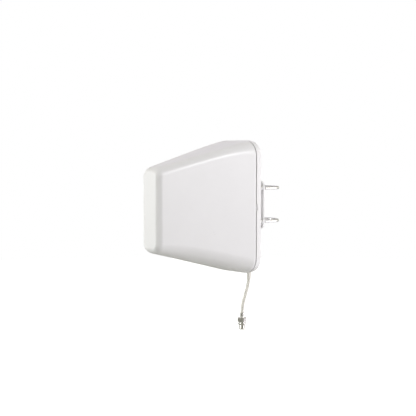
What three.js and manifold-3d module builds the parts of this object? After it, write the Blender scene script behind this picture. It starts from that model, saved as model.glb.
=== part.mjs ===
// Enclosed log-periodic antenna with its mast bracket, two U-bolts and a coaxial pigtail.
// Millimetres, +Z up. The origin lies on the mast's axis, midway between the two U-bolts.
// The antenna looks along -Y, the mast stands along Z, and X runs across the antenna.

import * as THREE from 'three';
import { mergeVertices } from 'three/addons/utils/BufferGeometryUtils.js';
import Module from 'manifold-3d';

const wasm = await Module();
wasm.setup();

// ---------------------------------------------------------------- driving dimensions

const gap = 0.3; // running clearance between pieces that touch

const mastDiameter = 48.3; // 1.5 inch nominal steel tube

const radome = {
  rearWidth: 95,
  rearHeight: 212,
  rearCorner: 25,
  frontWidth: 38,
  frontHeight: 126.5,
  frontCorner: 13.5,
  frontFillet: 7.5,
  depth: 189, // front face to the lid's rear face
  collar: 15, // straight stretch at the rear, lid included
  wall: 2.5,
  drop: 2, // the radome's middle sits this far below the clamp's middle
};

const lid = {
  rearY: -45.5,
  depth: 10.6,
  backWall: 3,
  stepInset: 0.7,
  edgeInset: 2.4,
  notchHeight: 10,
  notchDepth: 1.5,
};

const gasket = { thickness: 1.2, inset: 1.2, width: 2.6 };

const lidScrew = {
  shank: 1.45, headRadius: 2.75, headHeight: 2, post: 5, bossDepth: 12, bite: 9, sideZ: 30,
};

const plate = { width: 66, height: 77, thickness: 3, corner: 8 };
const standoff = { width: 36, height: 66, corner: 5, pocketWidth: 19, pocketHeight: 50 };
const bracketScrew = { x: 14, z: 22, shank: 2, headRadius: 3.8, post: 4.5, postDepth: 4.5 };

const uBolt = { rod: 2.5, legX: 27.75, z: 27, tipY: -38 };
const washer = { outer: 5, bore: 2.8, thickness: 1 };
const springWasher = { outer: 4.4, bore: 2.8, thickness: 1.2, split: 0.9 };
const nut = { acrossFlats: 8, bore: 2.8, thickness: 4 };

const boom = { side: 10, wall: 1, x: 7, rearY: -60, frontY: -222 };
const mount = { width: 30, height: 16, grip: 10, rib: 2, ribDepth: 4 };
const dipole = { count: 8, longest: 196, taper: 0.82, spacing: 0.172, rod: 2, rearY: -74, root: 3 };
const feed = { coax: 1.5, descentY: -53 };
const insulator = { thickness: 4, plug: 4.5 };
const spacer = { width: 29, height: 15, thickness: 6 };

const relief = {
  x: 7, z: -88, flange: 7.5, flangeDepth: 2, plug: 4.2, elbowY: -33, bend: 11, tipY: -34.6, tipZ: -122.3,
};
const cable = { radius: 2.5, sides: 8, steps: 14 };
const connector = {
  ferrule: 3.1, ferruleLength: 8, hexFlats: 13, hexHeight: 7, neck: 4.4, neckHeight: 1.5, collar: 6.2,
  collarHeight: 3.1, barrel: 4.75, length: 19.3, socket: 3.1, socketDepth: 9, contact: 0.6,
};

// The pigtail hangs from the strain relief's tip and swings forward under the lid.
const cableRoute = [
  [7.0, -34.6, -122.6],
  [7.0, -35.1, -126.0],
  [7.0, -36.0, -129.8],
  [7.0, -37.2, -133.6],
  [7.0, -38.5, -137.4],
  [7.0, -39.9, -141.2],
  [7.0, -41.4, -145.0],
  [7.0, -42.9, -148.8],
  [7.0, -44.4, -152.6],
  [7.0, -45.8, -156.4],
  [7.0, -47.0, -160.2],
  [7.0, -47.9, -164.0],
  [7.0, -48.6, -167.8],
  [7.0, -49.0, -171.6],
  [7.0, -49.2, -175.2],
];

// ---------------------------------------------------------------- worked-out places

const plateFaceY = -mastDiameter / 2;
const plateInnerY = plateFaceY - plate.thickness;
const lidRimY = lid.rearY - lid.depth;
const lidInnerY = lid.rearY - lid.backWall;
const gasketY = lidRimY - gap - gasket.thickness; // front face of the gasket
const shellRearY = gasketY - gap;
const kneeY = lid.rearY - radome.collar;
const frontY = lid.rearY - radome.depth;
const bossInset = radome.wall + lidScrew.post - 0.3; // bosses grow out of the wall
const cornerReach = (radome.rearCorner - bossInset) / Math.SQRT2;
const bossX = radome.rearWidth / 2 - radome.rearCorner + cornerReach;
const bossZ = radome.rearHeight / 2 - radome.rearCorner + cornerReach;
const sideX = radome.rearWidth / 2 - bossInset;
const headTopY = plateFaceY - gap; // the countersunk screws lie just below the plate's face
const bossPlaces = [
  [bossX, bossZ], [-bossX, bossZ], [bossX, -bossZ], [-bossX, -bossZ],
  [sideX, lidScrew.sideZ], [-sideX, lidScrew.sideZ],
];
const screwPlaces = [...bossPlaces, [0, 0]]; // the last one holds the boom mount

// ---------------------------------------------------------------- shape helpers

// A closed body through a row of rings that all hold the same number of points.
function loft(rings) {
  const count = rings[0].length;
  const position = [];
  const index = [];
  for (const ring of rings) {
    for (const point of ring) {
      position.push(point.x, point.y, point.z);
    }
  }
  for (let r = 0; r + 1 < rings.length; r += 1) {
    for (let i = 0; i < count; i += 1) {
      const a = r * count + i;
      const b = r * count + ((i + 1) % count);
      index.push(a, b, a + count, b, b + count, a + count);
    }
  }
  for (const [start, flip] of [[0, true], [(rings.length - 1) * count, false]]) {
    for (let i = 1; i + 1 < count; i += 1) {
      const fan = [start, start + i, start + i + 1];
      index.push(...(flip ? fan.reverse() : fan));
    }
  }
  const geometry = new THREE.BufferGeometry();
  geometry.setAttribute('position', new THREE.Float32BufferAttribute(position, 3));
  geometry.setIndex(index);
  return geometry;
}

// The points of a rounded rectangle that stands across Y, seen from behind.
function roundedRing(width, height, radius, y, z = 0, steps = 4) {
  const ring = [];
  for (let corner = 0; corner < 4; corner += 1) {
    const sx = corner === 0 || corner === 3 ? 1 : -1;
    const sz = corner < 2 ? 1 : -1;
    for (let i = 0; i <= steps; i += 1) {
      const angle = (corner + i / steps) * (Math.PI / 2);
      ring.push(new THREE.Vector3(
        sx * (width / 2 - radius) + radius * Math.cos(angle),
        y,
        z + sz * (height / 2 - radius) + radius * Math.sin(angle),
      ));
    }
  }
  return ring;
}

function solid(geometry) {
  const bare = geometry.clone();
  bare.deleteAttribute('normal');
  bare.deleteAttribute('uv');
  const merged = mergeVertices(bare, 1e-4);
  return new wasm.Manifold(new wasm.Mesh({
    numProp: 3,
    vertProperties: new Float32Array(merged.attributes.position.array),
    triVerts: new Uint32Array(merged.index.array),
  }));
}

function geometryOf(body) {
  const mesh = body.getMesh();
  const geometry = new THREE.BufferGeometry();
  geometry.setAttribute('position', new THREE.BufferAttribute(mesh.vertProperties, 3));
  geometry.setIndex(new THREE.BufferAttribute(mesh.triVerts, 1));
  geometry.computeVertexNormals();
  return geometry;
}

function cut(geometry, tools) {
  return geometryOf(tools.reduce((body, tool) => body.subtract(solid(tool)), solid(geometry)));
}

function join(geometry, others) {
  return geometryOf(others.reduce((body, other) => body.add(solid(other)), solid(geometry)));
}

// A round bar along Y from y0 to y1.
function barY(radius, x, z, y0, y1, sides = 12) {
  return new THREE.CylinderGeometry(radius, radius, Math.abs(y1 - y0), sides)
    .translate(x, (y0 + y1) / 2, z);
}

// A round bar along Z from z0 to z1.
function barZ(radius, x, y, z0, z1, sides = 12) {
  return new THREE.CylinderGeometry(radius, radius, Math.abs(z1 - z0), sides)
    .rotateX(Math.PI / 2)
    .translate(x, y, (z0 + z1) / 2);
}

function block(x0, x1, y0, y1, z0, z1) {
  return new THREE.BoxGeometry(x1 - x0, y1 - y0, z1 - z0)
    .translate((x0 + x1) / 2, (y0 + y1) / 2, (z0 + z1) / 2);
}

// A flat washer or a tube around the Y axis through (x, z).
function ringY(inner, outer, y0, y1, x, z, sides = 16) {
  const profile = [
    new THREE.Vector2(inner, y0),
    new THREE.Vector2(outer, y0),
    new THREE.Vector2(outer, y1),
    new THREE.Vector2(inner, y1),
    new THREE.Vector2(inner, y0),
  ];
  return new THREE.LatheGeometry(profile, sides).translate(x, 0, z);
}

// A solid of revolution around the Y axis through (x, z). The profile holds [radius, y] pairs
// from the front backwards.
function turnedY(profile, x, z, sides = 12) {
  return new THREE.LatheGeometry(profile.map(([radius, y]) => new THREE.Vector2(radius, y)), sides)
    .translate(x, 0, z);
}

// A solid of revolution around Z. The profile holds [radius, z] pairs from the top down.
function turnedZ(profile, x, y, sides = 16) {
  const points = profile.map(([radius, z]) => new THREE.Vector2(radius, z));
  return new THREE.LatheGeometry(points.reverse(), sides)
    .rotateX(Math.PI / 2)
    .translate(x, y, 0);
}

function circleShape(radius, sides) {
  const shape = new THREE.Shape();
  for (let i = 0; i < sides; i += 1) {
    const angle = (i / sides) * 2 * Math.PI;
    const point = [radius * Math.cos(angle), radius * Math.sin(angle)];
    if (i === 0) {
      shape.moveTo(...point);
    } else {
      shape.lineTo(...point);
    }
  }
  shape.closePath();
  return shape;
}

// A plain round bar along a curve.
function barAlong(path, radius, sides, steps) {
  return new THREE.ExtrudeGeometry(circleShape(radius, sides), {
    steps, extrudePath: path, curveSegments: 1, bevelEnabled: false,
  });
}

// A rounded rectangle of sheet that stands across Y, with round holes and one window.
function sheetY(width, height, corner, y0, y1, holes = [], window = null) {
  const shape = new THREE.Shape(roundedRing(width, height, corner, 0).map(
    (point) => new THREE.Vector2(point.x, point.z),
  ));
  for (const [x, z, radius] of holes) {
    shape.holes.push(new THREE.Path().absarc(x, z, radius, 0, 2 * Math.PI, true));
  }
  if (window) {
    const ring = roundedRing(window[0], window[1], 2, 0, 0, 2).reverse();
    shape.holes.push(new THREE.Path(ring.map((point) => new THREE.Vector2(point.x, point.z))));
  }
  return new THREE.ExtrudeGeometry(shape, { depth: y1 - y0, bevelEnabled: false, curveSegments: 5 })
    .rotateX(Math.PI / 2)
    .translate(0, y1, 0);
}

const group = new THREE.Group();
const radomeGroup = new THREE.Group();
radomeGroup.position.z = -radome.drop;
group.add(radomeGroup);

function add(name, geometry, finish, parent = group) {
  const mesh = new THREE.Mesh(geometry, finish);
  mesh.name = name;
  parent.add(mesh);
  return mesh;
}

// ---------------------------------------------------------------- finishes

function finish(color, roughness, metalness) {
  return new THREE.MeshStandardMaterial({ color, roughness, metalness });
}

const whitePlastic = finish(0xe6e5e6, 0.45, 0);
const greyRubber = finish(0xb9b9b9, 0.8, 0);
const whitePaint = finish(0xdedddc, 0.4, 0);
const zincSteel = finish(0xd4d6da, 0.3, 1);
const aluminium = finish(0xc9ccd0, 0.35, 1);
const clearNylon = finish(0xe8e4d8, 0.5, 0);
const cableJacket = finish(0xd9d5cd, 0.5, 0);
const nickel = finish(0xcfcdc8, 0.15, 1);
const brass = finish(0xc8a24a, 0.25, 1);
const darkJacket = finish(0x4a3b2e, 0.5, 0);

// ---------------------------------------------------------------- radome shell

// One loft of the radome, drawn inwards by `inset` on every side but the open rear.
function radomeLoft(inset, rearY) {
  const width = (share) => THREE.MathUtils.lerp(radome.rearWidth, radome.frontWidth, share);
  const height = (share) => THREE.MathUtils.lerp(radome.rearHeight, radome.frontHeight, share);
  const corner = (share) => THREE.MathUtils.lerp(radome.rearCorner, radome.frontCorner, share);
  const flankFront = frontY + radome.frontFillet;
  const shareAt = (y) => Math.max(0, (kneeY - y) / (kneeY - frontY));
  const rings = [];
  for (const y of [rearY, kneeY, flankFront]) {
    const share = shareAt(y);
    rings.push(roundedRing(
      width(share) - 2 * inset, height(share) - 2 * inset, corner(share) - inset, y,
    ));
  }
  const fillet = radome.frontFillet - inset;
  const share = shareAt(flankFront);
  const steps = 3;
  for (let i = 1; i <= steps; i += 1) {
    const angle = (i / steps) * (Math.PI / 2);
    const drawn = inset + fillet * (1 - Math.cos(angle));
    rings.push(roundedRing(
      width(share) - 2 * drawn,
      height(share) - 2 * drawn,
      corner(share) - drawn,
      flankFront - fillet * Math.sin(angle),
    ));
  }
  return loft(rings);
}

function radomeShell() {
  const bosses = bossPlaces.map(([x, z]) => barY(
    lidScrew.post, x, z, shellRearY, shellRearY - lidScrew.bossDepth, 8,
  ));
  const pilots = bossPlaces.map(([x, z]) => barY(
    lidScrew.shank + gap, x, z, shellRearY + 1, shellRearY - lidScrew.bite - 1, 6,
  ));
  const outside = solid(radomeLoft(0, shellRearY));
  let body = outside.subtract(solid(radomeLoft(radome.wall, shellRearY + 1)));
  for (const boss of bosses) {
    body = body.add(solid(boss).intersect(outside));
  }
  for (const pilot of pilots) {
    body = body.subtract(solid(pilot));
  }
  return geometryOf(body);
}

add('radome_shell', radomeShell(), whitePlastic, radomeGroup);

// ---------------------------------------------------------------- lid and gasket

function rearRing(inset, y, steps = 4) {
  return roundedRing(
    radome.rearWidth - 2 * inset, radome.rearHeight - 2 * inset, radome.rearCorner - inset, y, 0, steps,
  );
}

function rearLid() {
  const stepY = lid.rearY - 4;
  const outside = loft([
    rearRing(lid.edgeInset, lid.rearY),
    rearRing(lid.stepInset + 0.2, lid.rearY - 1.2),
    rearRing(lid.stepInset, stepY),
    rearRing(0, stepY - 0.1),
    rearRing(0, lidRimY),
  ]);
  const hollow = loft([rearRing(radome.wall, lidInnerY), rearRing(radome.wall, lidRimY - 1)]);
  const screwPosts = bossPlaces.map(([x, z]) => barY(
    lidScrew.post, x, z, lidInnerY + 0.5, lidRimY, 8,
  ));
  const bracketZ = [bracketScrew.z, -bracketScrew.z].map((z) => z + radome.drop);
  const bracketPlaces = [bracketScrew.x, -bracketScrew.x].flatMap((x) => bracketZ.map((z) => [x, z]));
  const bracketPosts = bracketPlaces.map(([x, z]) => barY(
    bracketScrew.post, x, z, lidInnerY + 0.5, lidInnerY - bracketScrew.postDepth, 8,
  ));
  const ribs = [1, -1].map((side) => {
    const face = side * (mount.width / 2 + gap);
    const outer = face + side * mount.rib;
    return block(
      Math.min(face, outer), Math.max(face, outer),
      lidInnerY - mount.ribDepth, lidInnerY + 0.5, -mount.height / 2, mount.height / 2,
    );
  });
  const tools = [
    ...screwPlaces.flatMap(([x, z]) => [
      barY(lidScrew.shank + gap, x, z, lid.rearY + 1, lidRimY - 1, 6),
      barY(lidScrew.headRadius + gap, x, z, lid.rearY + 1, lid.rearY - lidScrew.headHeight, 10),
    ]),
    ...bracketPlaces.map(([x, z]) => barY(
      bracketScrew.shank + gap, x, z, lid.rearY + 1, lidInnerY - bracketScrew.postDepth - 1, 8,
    )),
    barY(relief.plug + gap, relief.x, relief.z + radome.drop, lid.rearY + 1, lidInnerY - 1, 12),
    ...[1, -1].map((side) => {
      const face = side * radome.rearWidth / 2;
      const inner = face - side * lid.notchDepth;
      return block(
        Math.min(inner, face + side), Math.max(inner, face + side),
        lidRimY - 1, lidRimY + lid.notchDepth, -lid.notchHeight / 2, lid.notchHeight / 2,
      );
    }),
  ];
  const tray = geometryOf(solid(outside).subtract(solid(hollow)));
  return cut(join(tray, [...screwPosts, ...bracketPosts, ...ribs]), tools);
}

add('rear_lid', rearLid(), whitePlastic, radomeGroup);

function lidGasket() {
  const outer = gasket.inset;
  const inner = gasket.inset + gasket.width;
  const ring = (inset, y0, y1) => loft([rearRing(inset, y1), rearRing(inset, y0)]);
  const band = ring(outer, gasketY, gasketY + gasket.thickness);
  return cut(band, [ring(inner, gasketY - 1, gasketY + gasket.thickness + 1)]);
}

add('lid_gasket', lidGasket(), greyRubber, radomeGroup);

// The same screw holds the lid to the shell and the boom mount to the lid.
function lidScrewBody(x, z) {
  const seat = lid.rearY - lidScrew.headHeight + gap;
  const tip = shellRearY - lidScrew.bite;
  return join(
    barY(lidScrew.headRadius, x, z, seat, seat + lidScrew.headHeight - 0.5, 12),
    [barY(lidScrew.shank, x, z, tip, seat + 0.5, 8)],
  );
}

screwPlaces.forEach(([x, z], i) => {
  const name = i < bossPlaces.length ? `lid_screw_${i + 1}` : 'mount_screw';
  add(name, lidScrewBody(x, z), zincSteel, radomeGroup);
});

// ---------------------------------------------------------------- mast bracket

const bracketHoles = [1, -1].flatMap((sx) => [1, -1].map(
  (sz) => [sx * bracketScrew.x, sz * bracketScrew.z, bracketScrew.shank + gap],
));
const legHoles = [1, -1].flatMap((sx) => [1, -1].map(
  (sz) => [sx * uBolt.legX, sz * uBolt.z, uBolt.rod + gap + 0.1],
));

// A countersink's 45 degree cone, `spare` wider than the screw head that lies in it.
function headCone(x, z, spare, topY) {
  const { shank, headRadius } = bracketScrew;
  return turnedY([
    [0, headTopY - headRadius + shank],
    [shank + spare, headTopY - headRadius + shank],
    [headRadius + spare, headTopY],
    [headRadius + spare + topY - headTopY, topY],
    [0, topY],
  ], x, z);
}

add('mast_plate', cut(
  sheetY(
    plate.width, plate.height, plate.corner, plateInnerY, plateFaceY, [...bracketHoles, ...legHoles],
  ),
  bracketHoles.map(([x, z]) => headCone(x, z, gap, plateFaceY + 1)),
), whitePaint);

add('bracket_standoff', sheetY(
  standoff.width, standoff.height, standoff.corner, lid.rearY + gap, plateInnerY - gap,
  bracketHoles, [standoff.pocketWidth, standoff.pocketHeight],
), aluminium);

function bracketScrewBody(x, z) {
  const { shank, headRadius, postDepth } = bracketScrew;
  return turnedY([
    [0, lidInnerY - postDepth + 1],
    [shank, lidInnerY - postDepth + 1],
    [shank, headTopY - headRadius + shank],
    [headRadius, headTopY],
    [0, headTopY],
  ], x, z);
}

bracketHoles.forEach(([x, z], i) => {
  add(`bracket_screw_${i + 1}`, bracketScrewBody(x, z), zincSteel);
});

// ---------------------------------------------------------------- U-bolts and their hardware

// Up one leg, round the half circle behind the mast, and down the other leg.
class UBoltPath extends THREE.Curve {
  getPoint(t, target = new THREE.Vector3()) {
    const leg = -uBolt.tipY;
    const arc = Math.PI * uBolt.legX;
    const run = t * (2 * leg + arc);
    if (run < leg) {
      return target.set(uBolt.legX, uBolt.tipY + run, 0);
    }
    if (run > leg + arc) {
      return target.set(-uBolt.legX, leg + arc - run, 0);
    }
    const angle = (run - leg) / uBolt.legX;
    return target.set(uBolt.legX * Math.cos(angle), uBolt.legX * Math.sin(angle), 0);
  }
}

function hexNut(x) {
  const face = plateInnerY - washer.thickness - springWasher.thickness - 3 * gap;
  const radius = nut.acrossFlats / Math.sqrt(3);
  return cut(
    barY(radius, x, 0, face - nut.thickness, face, 6),
    [barY(nut.bore, x, 0, face - nut.thickness - 1, face + 1, 12)],
  );
}

function flatWasher(x) {
  const face = plateInnerY - gap;
  return ringY(washer.bore, washer.outer, face - washer.thickness, face, x, 0, 12);
}

function splitWasher(x) {
  const face = plateInnerY - washer.thickness - 2 * gap;
  const ring = ringY(
    springWasher.bore, springWasher.outer, face - springWasher.thickness, face, x, 0, 12,
  );
  const half = springWasher.split / 2;
  const slot = block(
    x - half, x + half, face - springWasher.thickness - 1, face + 1, 1, springWasher.outer + 1,
  );
  return cut(ring, [slot]);
}

for (const [level, z] of [['upper', uBolt.z], ['lower', -uBolt.z]]) {
  add(`${level}_ubolt`, barAlong(new UBoltPath(), uBolt.rod, 10, 30), zincSteel).position.z = z;
  for (const [side, x] of [['right', uBolt.legX], ['left', -uBolt.legX]]) {
    add(`${level}_${side}_flat_washer`, flatWasher(x), zincSteel).position.z = z;
    add(`${level}_${side}_spring_washer`, splitWasher(x), zincSteel).position.z = z;
    add(`${level}_${side}_nut`, hexNut(x), zincSteel).position.z = z;
  }
}

// ---------------------------------------------------------------- strain relief and pigtail

// A rubber elbow: a flange and plug in the lid, then a tapered tube that turns down.
function strainRelief() {
  const { bend } = relief;
  const rings = [];
  const start = lid.rearY + 1;
  const bendY = relief.elbowY - bend;
  const sections = [[start, relief.z, 0, 4.4], [bendY, relief.z, 0, 4.3]];
  for (const share of [0.25, 0.5, 0.75, 1]) {
    const angle = share * (Math.PI / 2);
    sections.push([
      bendY + bend * Math.sin(angle), relief.z - bend * (1 - Math.cos(angle)), angle, 4.3 - 0.5 * share,
    ]);
  }
  sections.push([relief.tipY, relief.tipZ, Math.PI / 2, 3.1]);
  for (const [y, z, angle, radius] of sections) {
    const ring = [];
    for (let i = 0; i < 12; i += 1) {
      const turn = (i / 12) * 2 * Math.PI;
      const across = radius * Math.sin(turn);
      ring.push(new THREE.Vector3(
        relief.x - radius * Math.cos(turn),
        y + across * Math.sin(angle),
        z + across * Math.cos(angle),
      ));
    }
    rings.push(ring);
  }
  const flangeY = lid.rearY + gap;
  return join(loft(rings), [
    barY(relief.flange, relief.x, relief.z, flangeY, flangeY + relief.flangeDepth, 16),
    barY(relief.plug, relief.x, relief.z, lidInnerY, flangeY + 0.5, 12),
  ]);
}

add('strain_relief', strainRelief(), greyRubber);

const cablePath = new THREE.CatmullRomCurve3(cableRoute.map((point) => new THREE.Vector3(...point)));
add('pigtail_cable', barAlong(cablePath, cable.radius, cable.sides, cable.steps), cableJacket);

const [connectorX, connectorY, cableEndZ] = cableRoute[cableRoute.length - 1];
const ferruleTop = cableEndZ - gap;
const bodyTop = ferruleTop - connector.ferruleLength;
const hexBottom = bodyTop - connector.hexHeight;
const collarTop = hexBottom - connector.neckHeight;
const bodyEnd = bodyTop - connector.length;

// The crimped sleeve that joins the cable to the connector.
function connectorFerrule() {
  return turnedZ([
    [0, ferruleTop],
    [connector.ferrule - 0.4, ferruleTop],
    [connector.ferrule, ferruleTop - 0.6],
    [connector.ferrule, bodyTop + gap],
    [0, bodyTop + gap],
  ], connectorX, connectorY, 12);
}

// A hexagonal shoulder, a neck and a threaded barrel with an open mouth.
function connectorBody() {
  const hexRadius = connector.hexFlats / Math.sqrt(3);
  const hex = barZ(hexRadius, connectorX, connectorY, hexBottom, bodyTop, 6);
  const stem = turnedZ([
    [0, bodyTop - 1],
    [connector.neck, bodyTop - 1],
    [connector.neck, collarTop],
    [connector.barrel, collarTop - 0.4],
    [connector.barrel, bodyEnd + 1],
    [connector.barrel - 0.6, bodyEnd],
    [0, bodyEnd],
  ], connectorX, connectorY, 16);
  const mouth = barZ(
    connector.socket, connectorX, connectorY, bodyEnd - 1, bodyEnd + connector.socketDepth, 12,
  );
  return cut(join(hex, [stem]), [mouth]);
}

// A round collar on the barrel, below the neck.
function connectorCollar() {
  const bottom = collarTop - connector.collarHeight;
  return cut(
    barZ(connector.collar, connectorX, connectorY, bottom, collarTop, 16),
    [barZ(connector.barrel + gap, connectorX, connectorY, bottom - 1, collarTop + 1, 16)],
  );
}

function connectorInsulator() {
  const top = bodyEnd + connector.socketDepth - gap;
  return cut(
    barZ(connector.socket - gap, connectorX, connectorY, bodyEnd + 1, top, 12),
    [barZ(connector.contact + gap, connectorX, connectorY, bodyEnd, top + 1, 8)],
  );
}

add('connector_ferrule', connectorFerrule(), nickel);
add('connector_body', connectorBody(), nickel);
add('connector_collar', connectorCollar(), nickel);
add('connector_insulator', connectorInsulator(), clearNylon);
add('connector_contact', barZ(
  connector.contact, connectorX, connectorY, bodyEnd + 1.5, bodyEnd + connector.socketDepth - 1, 8,
), brass);

// ---------------------------------------------------------------- the array inside

// Each dipole is shorter and closer to its neighbour than the one behind it.
const dipoles = [];
for (let i = 0, y = dipole.rearY; i < dipole.count; i += 1) {
  const length = dipole.longest * dipole.taper ** i;
  dipoles.push({ y, reach: length / 2, up: i % 2 === 0 ? 1 : -1 });
  y -= dipole.spacing * length;
}

function boomTube(side) {
  const half = boom.side / 2;
  const bore = half - boom.wall;
  const x = side * boom.x;
  const holes = dipoles.map(({ y, up }) => (side * up > 0
    ? barZ(dipole.rod + gap, x, y, bore - 1, half + 1, 8)
    : barZ(dipole.rod + gap, x, y, -half - 1, -bore + 1, 8)));
  return cut(block(x - half, x + half, boom.frontY, boom.rearY, -half, half), [
    block(x - bore, x + bore, boom.frontY - 1, boom.rearY + 1, -bore, bore),
    ...holes,
  ]);
}

for (const [name, side] of [['right', 1], ['left', -1]]) {
  add(`boom_${name}`, boomTube(side), aluminium, radomeGroup);
  dipoles.forEach(({ y, reach, up }, i) => {
    const sign = side * up;
    add(`half_dipole_${name}_${i + 1}`, barZ(
      dipole.rod, side * boom.x, y, sign * dipole.root, sign * reach, 8,
    ), aluminium, radomeGroup);
  });
}

// The block that grips both booms' rear ends, shorts them and is screwed to the lid. A slot lets
// the coax down.
function boomMount() {
  const halfWidth = mount.width / 2;
  const halfHeight = mount.height / 2;
  const pocket = boom.side / 2 + gap;
  const front = boom.rearY - mount.grip;
  const slot = feed.coax + 2;
  return cut(
    block(-halfWidth, halfWidth, front, lidInnerY - gap, -halfHeight, halfHeight),
    [
      ...[boom.x, -boom.x].map((x) => block(
        x - pocket, x + pocket, front - 1, boom.rearY + gap, -pocket, pocket,
      )),
      block(boom.x - slot, boom.x + slot, boom.rearY - 1, lidInnerY + 1, -halfHeight - 1, slot),
      barY(lidScrew.shank + gap, 0, 0, lidInnerY, shellRearY - lidScrew.bite - 0.5, 6),
    ],
  );
}

add('boom_mount', boomMount(), aluminium, radomeGroup);

// The coax runs back through the right boom, turns down behind it and out through the lid.
function feedPath() {
  const along = boom.rearY + 1;
  const turn = feed.descentY - along;
  const end = lidInnerY - gap;
  const low = end - feed.descentY;
  const at = (y, z) => new THREE.Vector3(boom.x, y, z);
  const bottom = relief.z + radome.drop;
  const path = new THREE.CurvePath();
  path.add(new THREE.LineCurve3(at(boom.frontY - insulator.thickness, 0), at(along, 0)));
  path.add(new THREE.QuadraticBezierCurve3(
    at(along, 0), at(feed.descentY, 0), at(feed.descentY, -turn),
  ));
  path.add(new THREE.LineCurve3(at(feed.descentY, -turn), at(feed.descentY, bottom + low)));
  path.add(new THREE.QuadraticBezierCurve3(
    at(feed.descentY, bottom + low), at(feed.descentY, bottom), at(end, bottom),
  ));
  return path;
}

add('feed_coax', barAlong(feedPath(), feed.coax, 6, 44), darkJacket, radomeGroup);

// A block across both booms' front ends, with a plug into each. The coax runs out through it.
function frontInsulator() {
  const reach = boom.x + boom.side / 2;
  const half = boom.side / 2;
  const plug = half - boom.wall - gap;
  const front = boom.frontY - insulator.thickness;
  const plugs = [boom.x, -boom.x].map((x) => block(
    x - plug, x + plug, boom.frontY - 1, boom.frontY + insulator.plug, -plug, plug,
  ));
  return cut(
    join(block(-reach, reach, front, boom.frontY - gap, -half, half), plugs),
    [barY(feed.coax + gap, boom.x, 0, front - 1, boom.frontY + insulator.plug + 1, 8)],
  );
}

add('front_insulator', frontInsulator(), clearNylon, radomeGroup);

// The strap carries the coax's core across to the left boom.
const strapY = boom.frontY - insulator.thickness - gap;
add('feed_strap', block(-boom.x, boom.x, strapY - 0.8, strapY, -2, 2), brass, radomeGroup);

// A plate between the third and fourth dipoles, with a window for each boom.
function boomSpacer() {
  const y = (dipoles[2].y + dipoles[3].y) / 2;
  const window = boom.side / 2 + gap;
  const [halfWidth, halfHeight, half] = [spacer.width / 2, spacer.height / 2, spacer.thickness / 2];
  return cut(
    block(-halfWidth, halfWidth, y - half, y + half, -halfHeight, halfHeight),
    [boom.x, -boom.x].map((x) => block(
      x - window, x + window, y - half - 1, y + half + 1, -window, window,
    )),
  );
}

add('boom_spacer', boomSpacer(), clearNylon, radomeGroup);

export default group;
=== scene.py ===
"""The looks of an enclosed log-periodic antenna on its mast bracket.

Metres, +Z up, -Y the way the antenna looks, X across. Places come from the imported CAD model.
"""

import math

import bmesh
import bpy
import numpy as np
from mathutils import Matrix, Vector
from mathutils.geometry import tessellate_polygon


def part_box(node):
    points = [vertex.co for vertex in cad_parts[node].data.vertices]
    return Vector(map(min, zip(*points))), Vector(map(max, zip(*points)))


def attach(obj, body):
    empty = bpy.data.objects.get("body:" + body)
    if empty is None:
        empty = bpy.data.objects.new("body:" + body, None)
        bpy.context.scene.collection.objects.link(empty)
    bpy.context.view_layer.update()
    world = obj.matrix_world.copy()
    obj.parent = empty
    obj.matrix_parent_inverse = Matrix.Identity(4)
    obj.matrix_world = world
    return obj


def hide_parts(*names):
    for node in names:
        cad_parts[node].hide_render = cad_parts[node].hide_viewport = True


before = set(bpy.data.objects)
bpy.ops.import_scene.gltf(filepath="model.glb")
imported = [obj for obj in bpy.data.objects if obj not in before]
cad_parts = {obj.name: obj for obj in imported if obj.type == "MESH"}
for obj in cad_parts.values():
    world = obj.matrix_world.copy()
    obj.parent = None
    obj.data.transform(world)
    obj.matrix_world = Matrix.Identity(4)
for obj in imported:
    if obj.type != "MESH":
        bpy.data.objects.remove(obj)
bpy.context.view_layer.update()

MM = 0.001
LEVELS = ("upper", "lower")
SIDES = ("right", "left")
LID_SCREWS = [f"lid_screw_{number}" for number in range(1, 7)]
BRACKET_SCREWS = [f"bracket_screw_{number}" for number in range(1, 5)]


# ---------------------------------------------------------------- places from the frame

class Place:
    """A node's box in the CAD model: its six sides, its middle, and its size across X and Z."""

    def __init__(self, node):
        low, high = (np.array(corner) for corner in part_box(node))
        self.x, self.y, self.z = (low + high) / 2
        _, self.front, self.bottom = low
        self.right, self.back, self.top = high
        self.width, _, self.height = high - low
        self.size = (self.width, self.height)
        self.at = (self.x, self.z)


def in_mm(pairs, start=0.0):
    """A profile from pairs in millimetres: a radius or an inset, and how far past `start` it lies."""
    return MM * np.asarray(pairs, float) + [0, start]

# ---------------------------------------------------------------- camera and cord

CAMERA_TURN = math.radians(48.384)
CAMERA_RISE = math.radians(3.377)
CAMERA_DISTANCE = 1.6
CAMERA_LENS = 83.54
CAMERA_AIM = Vector((-0.05827, -0.06559, -0.00724))


def seen_from(turn, rise):
    """The direction at an angle round from the front and an angle up, as a unit vector."""
    flat = math.cos(rise)
    return Vector((math.sin(turn) * flat, -math.cos(turn) * flat, math.sin(rise)))


def add_camera():
    """A camera that looks from the right of the antenna's front, a little above it."""
    data = bpy.data.cameras.new("camera")
    data.lens = CAMERA_LENS
    data.sensor_width = 36
    camera = bpy.data.objects.new("camera", data)
    back = seen_from(CAMERA_TURN, CAMERA_RISE)
    camera.location = CAMERA_AIM + back * CAMERA_DISTANCE
    camera.rotation_euler = back.to_track_quat("Z", "Y").to_euler()
    bpy.context.collection.objects.link(camera)
    bpy.context.scene.camera = camera

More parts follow.
